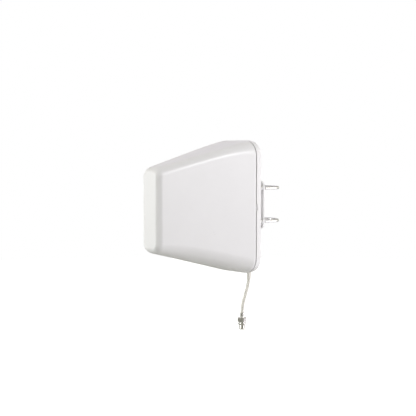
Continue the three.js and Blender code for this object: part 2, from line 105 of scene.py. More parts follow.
# The pigtail's route, as in the CAD model.
CABLE_ROUTE = MM * np.array([
    [7.0, -34.6, -122.6],
    [7.0, -35.1, -126.0],
    [7.0, -36.0, -129.8],
    [7.0, -37.2, -133.6],
    [7.0, -38.5, -137.4],
    [7.0, -39.9, -141.2],
    [7.0, -41.4, -145.0],
    [7.0, -42.9, -148.8],
    [7.0, -44.4, -152.6],
    [7.0, -45.8, -156.4],
    [7.0, -47.0, -160.2],
    [7.0, -47.9, -164.0],
    [7.0, -48.6, -167.8],
    [7.0, -49.0, -171.6],
    [7.0, -49.2, -175.2],
])
CABLE_RADIUS = 2.5 * MM


# ---------------------------------------------------------------- surfaces

SHARP_EDGE = math.radians(32)
DOUBLES = 1e-6


class Surface:
    """Gathers grids of points and flat faces, and makes one mesh of them."""

    def __init__(self):
        self.points = []
        self.faces = []
        self.size = 0

    def take(self, points):
        """Adds points and returns the number of the first."""
        start = self.size
        self.points.append(np.asarray(points, float).reshape(-1, 3))
        self.size += len(self.points[-1])
        return start

    def grid(self, rows):
        """Quads between neighbouring rows of an (m, n, 3) grid, each row joined to its own end."""
        count, width = rows.shape[:2]
        first = self.take(rows) + width * np.arange(count - 1)[:, None]
        here = np.arange(width)
        there = (here + 1) % width
        quads = np.stack([first + here, first + there, first + width + there, first + width + here], -1)
        self.faces += quads.reshape(-1, 4).tolist()
        return self

    def flat(self, outer, holes=()):
        """The flat area inside one loop of points and outside the others, in triangles."""
        loops = [outer, *holes]
        start = self.take(np.concatenate(loops))
        for triangle in tessellate_polygon([[Vector(point) for point in loop] for loop in loops]):
            self.faces.append([start + corner for corner in triangle])
        return self

    def rod(self, rows):
        """A grid with a flat face at each end."""
        return self.grid(rows).flat(rows[0]).flat(rows[-1])

    def thing(self, name, material):
        """A mesh object of what was gathered."""
        mesh = bpy.data.meshes.new(name)
        mesh.from_pydata(np.concatenate(self.points).tolist(), [], self.faces)
        mesh.materials.append(material)
        thing = bpy.data.objects.new(name, mesh)
        bpy.context.collection.objects.link(thing)
        return thing

    def piece(self, name, finish, stands_for, body="antenna", flats=False):
        """One piece of the looks, in a finish that is a material and its slot; the slot is not used. Doubles
        merged, faces outwards, smooth but for its sharp edges."""
        material, slot = finish
        thing = self.thing(name, material)
        mesh = thing.data
        work = bmesh.new()
        work.from_mesh(mesh)
        bmesh.ops.remove_doubles(work, verts=work.verts, dist=DOUBLES)
        bmesh.ops.recalc_face_normals(work, faces=work.faces)
        work.to_mesh(mesh)
        work.free()
        mesh.shade_smooth()
        mesh.set_sharp_from_angle(angle=SHARP_EDGE)
        if flats:
            weighted = thing.modifiers.new("flat faces stay flat", "WEIGHTED_NORMAL")
            weighted.keep_sharp = True
        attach(thing, body)
        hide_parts(stands_for)
        return thing

def softened(profile, cut, steps=4):
    """A polyline whose inner corners are rounded: each becomes a quadratic curve that starts and ends
    `cut` away from the corner, or half an edge where the edge is short."""
    profile = np.asarray(profile, float)
    before, corner, after = profile[:-2], profile[1:-1], profile[2:]
    back = before - corner
    ahead = after - corner
    back_length = np.linalg.norm(back, axis=1, keepdims=True)
    ahead_length = np.linalg.norm(ahead, axis=1, keepdims=True)
    start = corner + back / back_length * np.minimum(cut, 0.49 * back_length)
    end = corner + ahead / ahead_length * np.minimum(cut, 0.49 * ahead_length)
    share = np.linspace(0, 1, steps + 1)[None, :, None]
    curve = ((1 - share) ** 2 * start[:, None] + 2 * share * (1 - share) * corner[:, None]
             + share ** 2 * end[:, None])
    return np.concatenate([profile[:1], curve.reshape(-1, profile.shape[1]), profile[-1:]])


def outline(width, height, corner, arc=12, shares=np.linspace(0, 1, 9), low_corner=None):
    """A rounded rectangle as a loop of (x, z): four quarter circles of radius `corner` (the lower two of
    `low_corner`) about their own centres, joined by straight sides with a point at each of `shares`."""
    turn = np.linspace(0, np.pi / 2, arc + 1)
    quarters = []
    for number, (sx, sz) in enumerate(((1, 1), (-1, 1), (-1, -1), (1, -1))):
        if number == 2 and low_corner is not None:
            corner = low_corner
        angle = turn + number * np.pi / 2
        centre = np.array([sx * (width / 2 - corner), sz * (height / 2 - corner)])
        quarters.append(centre + corner * np.stack([np.cos(angle), np.sin(angle)], 1))
    inner = np.asarray(shares)[1:-1, None]
    parts = []
    for here, ahead in zip(quarters, quarters[1:] + quarters[:1]):
        parts += [here, here[-1] * (1 - inner) + ahead[0] * inner]
    return np.concatenate(parts)


def standing(loop, y, centre=(0, 0)):
    """A loop of (x, z) points stood across Y at `y`, around a centre (x, z)."""
    x = loop[:, 0] + centre[0]
    z = loop[:, 1] + centre[1]
    return np.stack([x, np.broadcast_to(y, x.shape), z], 1)


def rings(section, size, corner, centre, arc=12):
    """Rounded rectangles across Y: each (inset, y) of a section draws one in and places it."""
    width, height = size
    return np.stack([
        standing(outline(width - 2 * inset, height - 2 * inset, corner - inset, arc), y, centre)
        for inset, y in section
    ])

def around(radius, along, centre, axis, sides=48):
    """Rows around an axis: the point at angle t lies radius(row, t) from the axis and along(row, t)
    down it. `centre` is (x, z) for the Y axis and (x, y) for the Z axis."""
    angle = np.linspace(0, 2 * np.pi, sides, endpoint=False)
    radius, along, angle = np.broadcast_arrays(radius, along, angle)
    first = centre[0] + radius * np.cos(angle)
    second = centre[1] + radius * np.sin(angle)
    order = (first, along, second) if axis == "y" else (first, second, along)
    return np.stack(order, -1)


def turned(profile, centre, axis, sides=48):
    """A surface of revolution: each (radius, along) pair of the profile goes round the axis."""
    profile = np.asarray(profile, float)
    return around(profile[:, :1], profile[:, 1:], centre, axis, sides)


def swept(path, radius, aside, sides=32):
    """A tube along a path that bends in one plane: the point at angle t lies on the path's point plus
    radius(row, t) times (cos t times the plane's own normal, plus sin t times `aside`)."""
    forward = np.gradient(path, axis=0)
    forward /= np.linalg.norm(forward, axis=1, keepdims=True)
    aside = np.asarray(aside, float)
    inward = np.cross(aside, forward)
    angle = np.linspace(0, 2 * np.pi, sides, endpoint=False)[None, :, None]
    spokes = np.cos(angle) * inward[:, None] + np.sin(angle) * aside
    return path[:, None] + np.asarray(radius)[..., None] * spokes


def thread(along, pitch, depth, sense, sides, fade=1.0):
    """How far a thread's groove lies under its crest: `depth` times half of one less the cosine of
    (along / pitch, less the turn), which climbs one pitch in each turn."""
    turn = np.linspace(0, 1, sides, endpoint=False)
    wave = np.cos(2 * np.pi * (along[:, None] / pitch - sense * turn))
    return depth * (0.5 - 0.5 * wave) * np.broadcast_to(fade, along.shape)[:, None]

def ease(value, low, high):
    """0 below `low`, 1 above `high`, and a smooth S between."""
    share = np.clip((value - low) / (high - low), 0, 1)
    return share * share * (3 - 2 * share)


def hexagon(flats, sides, rounding=0.985):
    """The distance from a hexagon's centre to its edge at each angle: half the flats over the cosine of
    the angle from the nearest flat's middle, with the six tips cut at `rounding` of their reach."""
    angle = np.linspace(0, 2 * np.pi, sides, endpoint=False)
    from_middle = (angle + np.pi / 6) % (np.pi / 3) - np.pi / 6
    tip = flats / math.sqrt(3)
    return np.minimum(flats / 2 / np.cos(from_middle), tip * rounding)


def hex_rows(flats, low, high, sides, slope=0.5):
    """Radius and place of a hexagonal nut's outside, from the top's flat ring to the bottom's: past
    the flat ring the ends fall away by `slope`, which leaves the curved edge of a turned chamfer."""
    edge = hexagon(flats, sides)
    ring = 0.47 * flats
    share = np.linspace(0, 1, 7)[:, None]
    reach = ring + (edge - ring) * share
    drop = slope * (reach - ring)
    radius = np.concatenate([reach, reach[::-1]])
    along = np.concatenate([high - drop, (low + drop)[::-1]])
    return radius, along


def plate(surface, size, corner, front, back, cut, centre=(0, 0), holes=(), windows=()):
    """A flat plate across Y with its edges rounded by `cut`. A hole is its centre and a profile of
    radius and y from the front face to the back one; a window is its size, corner and centre."""
    rim = softened([[2 * cut, front], [0, front], [0, back], [2 * cut, back]], cut)
    edge = rings(rim, size, corner, centre)
    inner = [turned(softened(profile, cut), at, "y") for at, profile in holes]
    inner += [rings(rim * [-1, 1], opening, round_by, at) for opening, round_by, at in windows]
    for rows in [edge, *inner]:
        surface.grid(rows)
    surface.flat(edge[0], [rows[0] for rows in inner])
    surface.flat(edge[-1], [rows[-1] for rows in inner])
    return surface


def straight_hole(at, radius, front, back, cut):
    """A round hole for `plate`, widened at both faces by its rounded edges."""
    wide = radius + 2 * cut
    return at, [[wide, front], [radius, front], [radius, back], [wide, back]]


# ---------------------------------------------------------------- shader node groups

def fill(tree, made, settings):
    """Sets a node's own properties, and its input sockets to values or to links from other sockets."""
    for label, value in settings.items():
        if hasattr(made, label):
            setattr(made, label, value)
            continue
        socket = made.inputs[label.replace("_", " ")]
        if isinstance(value, bpy.types.NodeSocket):
            tree.links.new(value, socket)
        else:
            socket.default_value = value
    return made


def node(tree, kind, **settings):
    """A new node with its settings."""
    return fill(tree, tree.nodes.new(kind), settings)


def maths(tree, operation, first, second, kind="ShaderNodeMath"):
    """A Math node of two sockets or numbers; returns its output."""
    made = node(tree, kind, operation=operation)
    for socket, value in zip(made.inputs, (first, second)):
        if isinstance(value, bpy.types.NodeSocket):
            tree.links.new(value, socket)
        else:
            socket.default_value = value
    return made.outputs[0]


def new_group(name, output, **inputs):
    """A shader group with a Vector input, others with their values, and one output. Returns it with
    the sockets that bring its inputs and the one that takes its output."""
    group = bpy.data.node_groups.new(name, "ShaderNodeTree")
    sockets = group.interface
    sockets.new_socket(name="Vector", in_out="INPUT", socket_type="NodeSocketVector")
    for label, value in inputs.items():
        kind = "NodeSocketFloat" if isinstance(value, float) else "NodeSocketVector"
        sockets.new_socket(name=label, in_out="INPUT", socket_type=kind).default_value = value
    sockets.new_socket(name=output, in_out="OUTPUT", socket_type="NodeSocketFloat")
    start = group.nodes.new("NodeGroupInput")
    end = group.nodes.new("NodeGroupOutput")
    return group, start.outputs, end.inputs[output]


def cloud_group():
    """Two sizes of cloudy noise, mixed and spread over 0 to 1."""
    group, given, result = new_group("clouds", "Value", Scale=20.0)
    place, scale = given["Vector"], given["Scale"]
    coarse = node(group, "ShaderNodeTexNoise", Detail=3.0, Roughness=0.55, Vector=place, Scale=scale)
    closer = maths(group, "MULTIPLY", scale, 4.7)
    fine = node(group, "ShaderNodeTexNoise", Detail=5.0, Roughness=0.65, Vector=place, Scale=closer)
    mixed = maths(group, "ADD", coarse.outputs["Fac"], maths(group, "MULTIPLY", fine.outputs["Fac"], 0.5))
    spread = node(group, "ShaderNodeMapRange", From_Min=0.45, From_Max=1.05, Value=mixed)
    group.links.new(spread.outputs["Result"], result)
    return group


def grain_group():
    """The height of a moulded or sprayed skin: small rounded cells with finer noise on them."""
    group, given, result = new_group("skin grain", "Height", Scale=2500.0)
    where = {"Vector": given["Vector"], "Scale": given["Scale"]}
    cells = node(group, "ShaderNodeTexVoronoi", feature="SMOOTH_F1", **where)
    noise = node(group, "ShaderNodeTexNoise", Detail=2.0, **where)
    finer = maths(group, "MULTIPLY", noise.outputs["Fac"], 0.6)
    group.links.new(maths(group, "ADD", cells.outputs["Distance"], finer), result)
    return group


def lines_group():
    """Fine drawn or brushed lines: noise on coordinates that are squeezed along the stroke."""
    group, given, result = new_group("drawn lines", "Value", Squeeze=(1.0, 0.02, 1.0), Scale=1500.0)
    squeezed = maths(group, "MULTIPLY", given["Vector"], given["Squeeze"], "ShaderNodeVectorMath")
    noise = node(
        group, "ShaderNodeTexNoise", Detail=4.0, Roughness=0.6, Vector=squeezed, Scale=given["Scale"],
    )
    group.links.new(noise.outputs["Fac"], result)
    return group


def dust_group():
    """How much fine dust lies on a point: more where the surface faces up, in soft patches."""
    group, given, result = new_group("settled dust", "Mask", Amount=0.2)
    normal = node(group, "ShaderNodeNewGeometry").outputs["Normal"]
    upward = node(group, "ShaderNodeSeparateXYZ", Vector=normal).outputs["Z"]
    facing = node(group, "ShaderNodeMapRange", From_Min=0.1, From_Max=0.95, Value=upward)
    patches = node(
        group, "ShaderNodeTexNoise", Scale=60.0, Detail=6.0, Roughness=0.7, Vector=given["Vector"],
    )
    amount = maths(group, "MULTIPLY", facing.outputs["Result"], patches.outputs["Fac"])
    group.links.new(maths(group, "MULTIPLY", amount, given["Amount"]), result)
    return group


CLOUDS = cloud_group()
GRAIN = grain_group()
LINES = lines_group()
DUST = dust_group()


# ---------------------------------------------------------------- materials

DUST_TINT = (0.60, 0.58, 0.54)
DARK_DUST_TINT = (0.5, 0.47, 0.42)


class Finish:
    """A material with one Principled shader, fed by the groups above on Object coordinates."""

    def __init__(self, name, **constants):
        self.material = bpy.data.materials.new(name)
        self.material.use_nodes = True
        self.tree = self.material.node_tree
        self.shader = fill(self.tree, self.tree.nodes["Principled BSDF"], constants)
        self.place = node(self.tree, "ShaderNodeTexCoord").outputs["Object"]

    def group(self, group, **inputs):
        """One of the groups' outputs."""
        used = node(self.tree, "ShaderNodeGroup", node_tree=group, Vector=self.place, **inputs)
        return used.outputs[0]

    def feed(self, label, source):
        """A link to one of the shader's sockets."""
        self.tree.links.new(source, self.shader.inputs[label])

    def colour(self, factor, *tints):
        """Base Color through a ramp of linear colours, evenly spread from 0 to 1."""
        ramp = node(self.tree, "ShaderNodeValToRGB", Fac=factor)
        elements = ramp.color_ramp.elements
        while len(elements) < len(tints):
            elements.new(0.5)
        for number, tint in enumerate(tints):
            elements[number].position = number / (len(tints) - 1)
            elements[number].color = (*tint, 1)
        self.feed("Base Color", ramp.outputs["Color"])
        return ramp.outputs["Color"]

    def dust(self, amount, base, tint):
        """Base Color from another colour output, turned towards a tint where dust lies."""
        mask = self.group(DUST, Amount=amount)
        mix = node(self.tree, "ShaderNodeMix", data_type="RGBA", Factor=mask, A=base, B=(*tint, 1))
        self.feed("Base Color", mix.outputs["Result"])

    def roughness(self, factor, low, high):
        """Roughness from `low` to `high` as the factor goes from 0 to 1."""
        scale = node(self.tree, "ShaderNodeMapRange", To_Min=low, To_Max=high, Value=factor)
        self.feed("Roughness", scale.outputs["Result"])

    def bump(self, height, strength, distance):
        """A Bump node after any earlier one."""
        bump = node(self.tree, "ShaderNodeBump", Strength=strength, Distance=distance, Height=height)
        earlier = self.shader.inputs["Normal"].links
        if earlier:
            self.tree.links.new(earlier[0].from_socket, bump.inputs["Normal"])
        self.feed("Normal", bump.outputs["Normal"])


def moulded_plastic(name, light, dark):
    """White moulded plastic: faint cloudy tone, a fine matt skin and a trace of dust on top."""
    finish = Finish(name, Roughness=0.42, Metallic=0.0, IOR=1.48)
    base = finish.colour(finish.group(CLOUDS, Scale=14.0), dark, light)
    finish.dust(0.10, base, DUST_TINT)
    finish.roughness(finish.group(CLOUDS, Scale=35.0), 0.27, 0.36)
    finish.bump(finish.group(GRAIN, Scale=2600.0), 0.10, 0.06 * MM)
    finish.bump(finish.group(CLOUDS, Scale=9.0), 0.05, 0.4 * MM)
    return finish.material


def soft_rubber(name, light, dark, scale, depth):
    """Matt rubber: a speckled tone and a coarse, powdery skin."""
    finish = Finish(name, Roughness=0.7, Metallic=0.0, IOR=1.5)
    clouds = finish.group(CLOUDS, Scale=60.0)
    finish.colour(clouds, dark, light)
    finish.roughness(clouds, 0.6, 0.8)
    finish.bump(finish.group(GRAIN, Scale=scale), 0.3, depth)
    return finish.material


def powder_coat():
    """Satin white powder coat: orange peel over steel, a little dust, and a faint tone."""
    finish = Finish("powder coat", Roughness=0.35, Metallic=0.0, IOR=1.5)
    clouds = finish.group(CLOUDS, Scale=40.0)
    base = finish.colour(clouds, (0.80, 0.80, 0.80), (0.87, 0.87, 0.865))
    finish.dust(0.12, base, DUST_TINT)
    finish.roughness(clouds, 0.28, 0.42)
    finish.bump(finish.group(GRAIN, Scale=900.0), 0.15, 0.1 * MM)
    return finish.material


def drawn_metal(name, roughness, clouds, tints, lines, squeeze, rough, bump):
    """A metal with a cloudy tone and fine lines that set its roughness and its relief. `clouds` and
    `lines` are the scales of the two, `rough` the range of roughness, `bump` strength and depth."""
    finish = Finish(name, Roughness=roughness, Metallic=1.0)
    finish.colour(finish.group(CLOUDS, Scale=clouds), *tints)
    stroke = finish.group(LINES, Squeeze=squeeze, Scale=lines)
    finish.roughness(stroke, *rough)
    finish.bump(stroke, *bump)
    return finish.material


def satin_aluminium(name, squeeze):
    """Bare aluminium with drawn lines along one direction and a dull oxide tone."""
    tints = [(0.66, 0.67, 0.69), (0.82, 0.82, 0.83)]
    return drawn_metal(name, 0.35, 50.0, tints, 2200.0, squeeze, (0.26, 0.46), (0.12, 0.05 * MM))


def bright_zinc():
    """Bright zinc plate: silvery, with faint bluish and straw patches and fine rolling marks."""
    tints = [(0.70, 0.73, 0.78), (0.82, 0.82, 0.82), (0.86, 0.84, 0.78)]
    squeeze = (1.0, 1.0, 1.0)
    return drawn_metal(
        "bright zinc", 0.26, 120.0, tints, 1800.0, squeeze, (0.16, 0.38), (0.08, 0.04 * MM),
    )


def bright_nickel():
    """Bright nickel plate: smooth and warm, with the faintest machining lines round the axis."""
    tints = [(0.74, 0.72, 0.69), (0.84, 0.83, 0.80)]
    squeeze = (0.05, 0.05, 1.0)
    return drawn_metal(
        "bright nickel", 0.12, 200.0, tints, 3000.0, squeeze, (0.08, 0.2), (0.05, 0.03 * MM),
    )


def yellow_brass():
    """Brass with a light tarnish in soft patches."""
    finish = Finish("yellow brass", Roughness=0.22, Metallic=1.0)
    clouds = finish.group(CLOUDS, Scale=150.0)
    finish.colour(clouds, (0.55, 0.36, 0.13), (0.80, 0.60, 0.27))
    finish.roughness(clouds, 0.32, 0.16)
    finish.bump(finish.group(GRAIN, Scale=4000.0), 0.05, 0.03 * MM)
    return finish.material


def natural_nylon():
    """Natural nylon: creamy, a little translucent, with a soft moulded skin."""
    finish = Finish(
        "natural nylon", Roughness=0.45, Metallic=0.0, IOR=1.53, Subsurface_Weight=0.15,
        Subsurface_Scale=4 * MM,
    )
    clouds = finish.group(CLOUDS, Scale=45.0)
    finish.colour(clouds, (0.74, 0.70, 0.60), (0.86, 0.84, 0.77))
    finish.roughness(clouds, 0.38, 0.55)
    finish.bump(finish.group(GRAIN, Scale=1800.0), 0.12, 0.06 * MM)
    return finish.material


def extruded_jacket(name, light, dark):
    """A cable jacket: a soft satin skin with faint draw lines and a cloudy tone."""
    finish = Finish(name, Roughness=0.4, Metallic=0.0, IOR=1.5)
    base = finish.colour(finish.group(CLOUDS, Scale=70.0), dark, light)
    finish.dust(0.15, base, DARK_DUST_TINT)
    lines = finish.group(LINES, Squeeze=(1.0, 0.3, 0.06), Scale=1400.0)
    finish.roughness(lines, 0.34, 0.5)
    finish.bump(lines, 0.12, 0.1 * MM)
    return finish.material


# Each finish is a material and the slot it belongs to.
RADOME_PLASTIC = moulded_plastic("radome plastic", (0.845, 0.84, 0.845), (0.82, 0.815, 0.82)), "radome_white"
LID_PLASTIC = moulded_plastic("lid plastic", (0.87, 0.865, 0.865), (0.845, 0.84, 0.84)), "radome_white"
SEAL_RUBBER = soft_rubber(
    "seal rubber", (0.42, 0.42, 0.425), (0.33, 0.33, 0.335), 2600.0, 0.2 * MM,
), "seal_rubber"
RELIEF_RUBBER = soft_rubber(
    "relief rubber", (0.83, 0.81, 0.76), (0.74, 0.72, 0.67), 3200.0, 0.1 * MM,
), "relief_rubber"
POWDER_COAT = powder_coat(), "bracket_paint"
ZINC = bright_zinc(), "zinc_steel"
ALUMINIUM_LENGTHWISE = satin_aluminium("aluminium drawn along the boom", (1.0, 0.02, 1.0)), "aluminium"
ALUMINIUM_UPRIGHT = satin_aluminium("aluminium drawn upright", (1.0, 1.0, 0.02)), "aluminium"
NICKEL = bright_nickel(), "nickel"
BRASS = yellow_brass(), "brass"
NYLON = natural_nylon(), "clear_nylon"
CABLE_JACKET = extruded_jacket("cable jacket", (0.76, 0.74, 0.69), (0.68, 0.66, 0.60)), "cable_jacket"
COAX_JACKET = extruded_jacket("coax jacket", (0.26, 0.15, 0.09), (0.19, 0.11, 0.06)), "coax_jacket"

# ---------------------------------------------------------------- pigtail cable

def smooth_route(points, step):
    """A natural cubic spline through the points, with chord length as its parameter, in equal steps:
    the second derivatives solve one banded set of equations."""
    chord = np.linalg.norm(np.diff(points, axis=0), axis=1)
    knots = np.concatenate([[0], np.cumsum(chord)])
    count = len(points)
    system = np.eye(count)
    slopes = np.diff(points, axis=0) / chord[:, None]
    wanted = np.zeros_like(points)
    inner = np.arange(1, count - 1)
    system[inner, inner - 1] = chord[:-1]
    system[inner, inner] = 2 * (chord[:-1] + chord[1:])
    system[inner, inner + 1] = chord[1:]
    wanted[1:-1] = 6 * np.diff(slopes, axis=0)
    bend = np.linalg.solve(system, wanted)
    place = np.linspace(0, knots[-1], int(knots[-1] / step) + 1)
    part = np.clip(np.searchsorted(knots, place, side="right") - 1, 0, count - 2)
    length = chord[part][:, None]
    after = (place - knots[part])[:, None]
    before = length - after
    return (
        bend[part] * before ** 3 / (6 * length) + bend[part + 1] * after ** 3 / (6 * length)
        + (points[part] / length - bend[part] * length / 6) * before
        + (points[part + 1] / length - bend[part + 1] * length / 6) * after
    )

def pigtail():
    """A round tube along the route, let a little into the strain relief and the ferrule. Returns the
    piece, its middle line and its length."""
    tuck = [[0, 0, 1.2 * MM]]
    path = smooth_route(CABLE_ROUTE, 0.5 * MM)
    path = np.concatenate([path[:1] + tuck, path, path[-1:] - tuck])
    surface = Surface().rod(swept(path, CABLE_RADIUS, (1, 0, 0)))
    cable = surface.piece("pigtail", CABLE_JACKET, "pigtail_cable")
    length = float(np.linalg.norm(np.diff(path, axis=0), axis=1).sum())
    return cable, path, length

# ---------------------------------------------------------------- radome

RADOME_FRONT_SIZE = (38 * MM, 126.5 * MM)
RADOME_REAR_CORNER = 25 * MM
RADOME_TOP_CORNER = 14 * MM
RADOME_LOW_FRONT_CORNER = 13.5 * MM
FILLET_REACH = 6.5 * MM
FILLET_DEPTH = 10.5 * MM
RADOME_COLLAR = 2.6 * MM
WALL = 2.5 * MM
KNEE_SOFTNESS = 1.5 * MM
RIM_DEPTH = 0.5 * MM
BOSS_DEPTH = 12 * MM
PILOT_HOLE = 1.75 * MM


def radome_row(y, drawn, shell):
    """One ring of the radome at `y`, drawn inwards. Width and height shrink in a straight line from the
    knee to the front; the knee is a hyperbola between the straight collar and the taper. The upper
    corners tighten soon after the knee, with the sixth power of what is left, and the lower ones only
    near the front, with the fourth power of what is past."""
    knee = shell.back - RADOME_COLLAR
    ahead = knee - y
    ramp = (np.hypot(ahead, KNEE_SOFTNESS) + ahead) / 2
    share = min(1.0, ramp / (knee - shell.front))
    width, height = (
        full + (small - full) * share for full, small in zip(shell.size, RADOME_FRONT_SIZE)
    )
    top = RADOME_TOP_CORNER + (RADOME_REAR_CORNER - RADOME_TOP_CORNER) * (1 - share) ** 6
    low = RADOME_REAR_CORNER + (RADOME_LOW_FRONT_CORNER - RADOME_REAR_CORNER) * share ** 4
    return outline(width - 2 * drawn, height - 2 * drawn, top - drawn, 16, low_corner=low - drawn)


def radome_skin(inset, shell):
    """The rings of one skin of the radome, from the rear to the front face. Round the front, rings are
    drawn in by a quarter ellipse, longer along the flank than across the face."""
    flank_front = shell.front + FILLET_DEPTH
    knee = shell.back - RADOME_COLLAR
    collar = np.linspace(shell.back - RIM_DEPTH, knee - 4 * MM, 10)
    taper = np.linspace(knee - 8 * MM, flank_front, 16)
    stations = [(y, inset) for y in (*collar, *taper)]
    for turn in np.linspace(0, np.pi / 2, 13)[1:]:
        drawn = inset + (FILLET_REACH - inset) * (1 - math.cos(turn))
        stations.append((flank_front - (FILLET_DEPTH - inset) * math.sin(turn), drawn))
    return np.stack([
        standing(radome_row(y, drawn, shell), y, (0, shell.z)) for y, drawn in stations
    ])


def radome_shell():
    """Two skins joined round the open rear by a rim with rounded edges and closed by flat fronts, and
    six hollow posts for the lid's screws."""
    shell = Place("radome_shell")
    rear = shell.back
    outside = radome_skin(0.0, shell)
    inside = radome_skin(WALL, shell)
    start = rear - RIM_DEPTH
    rim = softened([[WALL, start], [WALL, rear], [0, rear], [0, start]], 0.4 * MM)
    edge = np.stack([
        standing(radome_row(rear, inset, shell), y, (0, shell.z)) for inset, y in rim
    ])
    surface = Surface().grid(np.concatenate([inside[::-1], edge, outside]))
    surface.flat(outside[-1]).flat(inside[-1])
    end = rear - BOSS_DEPTH
    boss = softened([[PILOT_HOLE, rear], [5 * MM, rear], [3.4 * MM, end], [PILOT_HOLE, end]], 0.3 * MM)
    boss = np.concatenate([boss, [[PILOT_HOLE, end], [PILOT_HOLE, rear]]])
    for name in LID_SCREWS:
        surface.grid(turned(boss, Place(name).at, "y", 32))
    surface.piece("radome", RADOME_PLASTIC, "radome_shell", flats=True)


# ---------------------------------------------------------------- rear lid and gasket

LID_STEP = 0.7 * MM
LID_EDGE = 2.4 * MM
LID_BACK_WALL = 3 * MM
NOTCH = 1.5 * MM
NOTCH_HALF_HEIGHT = 5 * MM
NOTCH_SLOPE = 1.06
SCREW_HOLE = 1.75 * MM
HEAD_HOLE = 3.05 * MM
HEAD_HOLE_DEPTH = 2 * MM
BRACKET_SCREW_HOLE = 2.3 * MM
BRACKET_BOSS_HEIGHT = 4.5 * MM
RIB_X = 16.3 * MM


def lid_holes(lid, inner):
    """The centre and the profile of radius and y of every hole through the lid, from its rear face to
    its inner one. A rim screw's hole runs down a post to the rim, a bracket screw's through a boss."""
    rear, rim = lid.back, lid.front
    seat = rear - HEAD_HOLE_DEPTH
    boss_end = inner - BRACKET_BOSS_HEIGHT
    head = [[HEAD_HOLE + 0.6 * MM, rear], [HEAD_HOLE, rear], [HEAD_HOLE, seat], [SCREW_HOLE, seat]]
    post = [[SCREW_HOLE, rim], [4.5 * MM, rim], [4.6 * MM, inner], [5.0 * MM, inner]]
    plain = [[SCREW_HOLE, inner], [SCREW_HOLE + 0.6 * MM, inner]]
    boss = [
        [2.9 * MM, rear], [BRACKET_SCREW_HOLE, rear], [BRACKET_SCREW_HOLE, boss_end],
        [4.3 * MM, boss_end], [4.5 * MM, inner], [5.1 * MM, inner],
    ]
    relief = Place("strain_relief")
    return [
        *((Place(name).at, head + post) for name in LID_SCREWS),
        (Place("mount_screw").at, head + plain),
        *((Place(name).at, boss) for name in BRACKET_SCREWS),
        straight_hole((relief.x, relief.top - relief.width / 2), 4.5 * MM, rear, inner, 0.3 * MM),
    ]


def rear_lid():
    """A shallow tray: a rim with a pry notch half way up each side, a wall with a fine step, a broad
    rounded edge and a flat back with its screw holes."""
    lid = Place("rear_lid")
    rear, rim = lid.back, lid.front
    inner = rear - LID_BACK_WALL
    width, height = lid.size
    straight = height - 2 * RADOME_REAR_CORNER
    notch_edges = np.array([-NOTCH_SLOPE, -1.0, 1.0, NOTCH_SLOPE]) * NOTCH_HALF_HEIGHT
    shares = np.sort(np.concatenate([np.linspace(0, 1, 9), 0.5 + notch_edges / straight]))

    def ring(inset, y, notch=0.0):
        loop = outline(width - 2 * inset, height - 2 * inset, RADOME_REAR_CORNER - inset, 16, shares)
        flank = np.abs(loop[:, 0]) > (width / 2 - inset) - 0.01 * MM
        away = ease(np.abs(loop[:, 1]), NOTCH_HALF_HEIGHT, NOTCH_SLOPE * NOTCH_HALF_HEIGHT)
        return standing(loop, y + notch * flank * (1 - away), (0, lid.z))

    step_y = rear - 4 * MM
    wall = softened([[0, rim], [0, step_y], [LID_STEP, step_y], [LID_STEP, rear - 1.6 * MM]], 0.3 * MM)
    wall = wall[wall[:, 1] < rear - 3.7 * MM][1:]
    edge_start = rear - 3.6 * MM
    edge = softened([[LID_STEP, edge_start], [LID_STEP, rear], [LID_EDGE + 1.2 * MM, rear]], 2.8 * MM, 10)
    back = [ring(inset, y) for inset, y in (*wall, *edge)]
    lip = [
        ring(WALL, rim), ring(NOTCH, rim), ring(NOTCH, rim, NOTCH), ring(0.0, rim, NOTCH),
        ring(0.0, rim + 1.6 * MM),
    ]
    tray = softened([[WALL, rim], [WALL, inner], [WALL + 2 * MM, inner]], 0.8 * MM)
    well = [ring(inset, y) for inset, y in tray]
    surface = Surface().grid(np.stack([*well[::-1], *lip, *back]))
    holes = [
        turned(softened(profile, 0.25 * MM, 2), at, "y") for at, profile in lid_holes(lid, inner)
    ]
    for rows in holes:
        surface.grid(rows)
    surface.flat(back[-1], [rows[0] for rows in holes])
    surface.flat(well[-1], [rows[-1] for rows in holes])
    rib_size = (2 * MM, 16 * MM)
    for x in (RIB_X, -RIB_X):
        plate(surface, rib_size, 0.6 * MM, inner - 4 * MM, inner + 0.2 * MM, 0.2 * MM, (x, lid.z))
    surface.piece("lid", LID_PLASTIC, "rear_lid", flats=True)


def lid_gasket():
    """A rubber frame in the seam: a rounded section carried round the outline."""
    gasket = Place("lid_gasket")
    back, front = gasket.back, gasket.front
    band = 2.6 * MM
    section = softened([
        [band / 2, back], [0, back], [0, front], [band, front], [band, back], [band / 2, back],
    ], 0.4 * MM)
    corner = RADOME_REAR_CORNER - 1.2 * MM
    rows = rings(section, gasket.size, corner, (0, gasket.z), 16)
    Surface().grid(rows).piece("gasket", SEAL_RUBBER, "lid_gasket")


# ---------------------------------------------------------------- screws

RECESS_WIDTH = 0.9 * MM
RECESS_DEPTH = 0.9 * MM
RECESS_SLOPE = 0.12 * MM
PAN_DOME = 0.35 * MM
GROOVE_SHARE = 0.16


def cross_recess(radius, angle, arm):
    """The depth of a cross recess: two crossed slots that reach out to `arm`, deepest in the middle,
    with sloped walls."""
    across = np.abs(radius * np.cos(angle))
    down = np.abs(radius * np.sin(angle))
    narrow = np.minimum(across, down)
    far = np.maximum(across, down)
    inside = ease(RECESS_WIDTH / 2 - narrow, -RECESS_SLOPE, RECESS_SLOPE)
    inside = inside * ease(arm - far, -RECESS_SLOPE, RECESS_SLOPE)
    return RECESS_DEPTH * inside * (1 - 0.5 * np.clip(far / arm, 0, 1))


